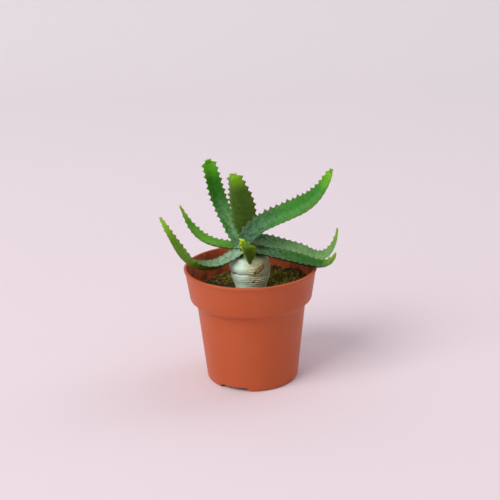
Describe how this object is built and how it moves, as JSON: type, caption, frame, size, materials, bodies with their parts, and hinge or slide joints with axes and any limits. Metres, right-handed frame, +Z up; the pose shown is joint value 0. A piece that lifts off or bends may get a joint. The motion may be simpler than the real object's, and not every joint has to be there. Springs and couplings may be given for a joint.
{
  "type": "potted euphorbia",
  "caption": "Small succulent with a swollen pale stem and toothed ribbon branches, growing in a round stepped plastic nursery pot filled with peaty mix.",
  "frame": {"origin": "middle of the object's footprint on the surface that the pot stands on; the pot's own axis is 0.3 mm towards -X from it", "axes": "+Z up along the pot's axis; +X to the viewer's right as seen from the front; +Y away from the viewer, to the back; the branches spread along X"},
  "size_m": [0.0736, 0.0558, 0.0917],
  "materials": {
    "pot": "satin moulded terracotta-coloured polypropylene, faint turning lines and dust",
    "potting_mix": null,
    "moss": null,
    "caudex": null,
    "branch": null
  },
  "bodies": {
    "root": {"pot": "pot", "potting_mix": "potting_mix", "moss_right": "moss", "moss_back": "moss", "moss_front_right": "moss", "caudex": "caudex", "branch_front_short": "branch", "branch_right_upper": "branch", "branch_left_front": "branch", "branch_right_front": "branch", "branch_right_rear": "branch", "branch_left_rear": "branch", "branch_back_left": "branch", "branch_back_centre": "branch"}
  },
  "joints": []
}
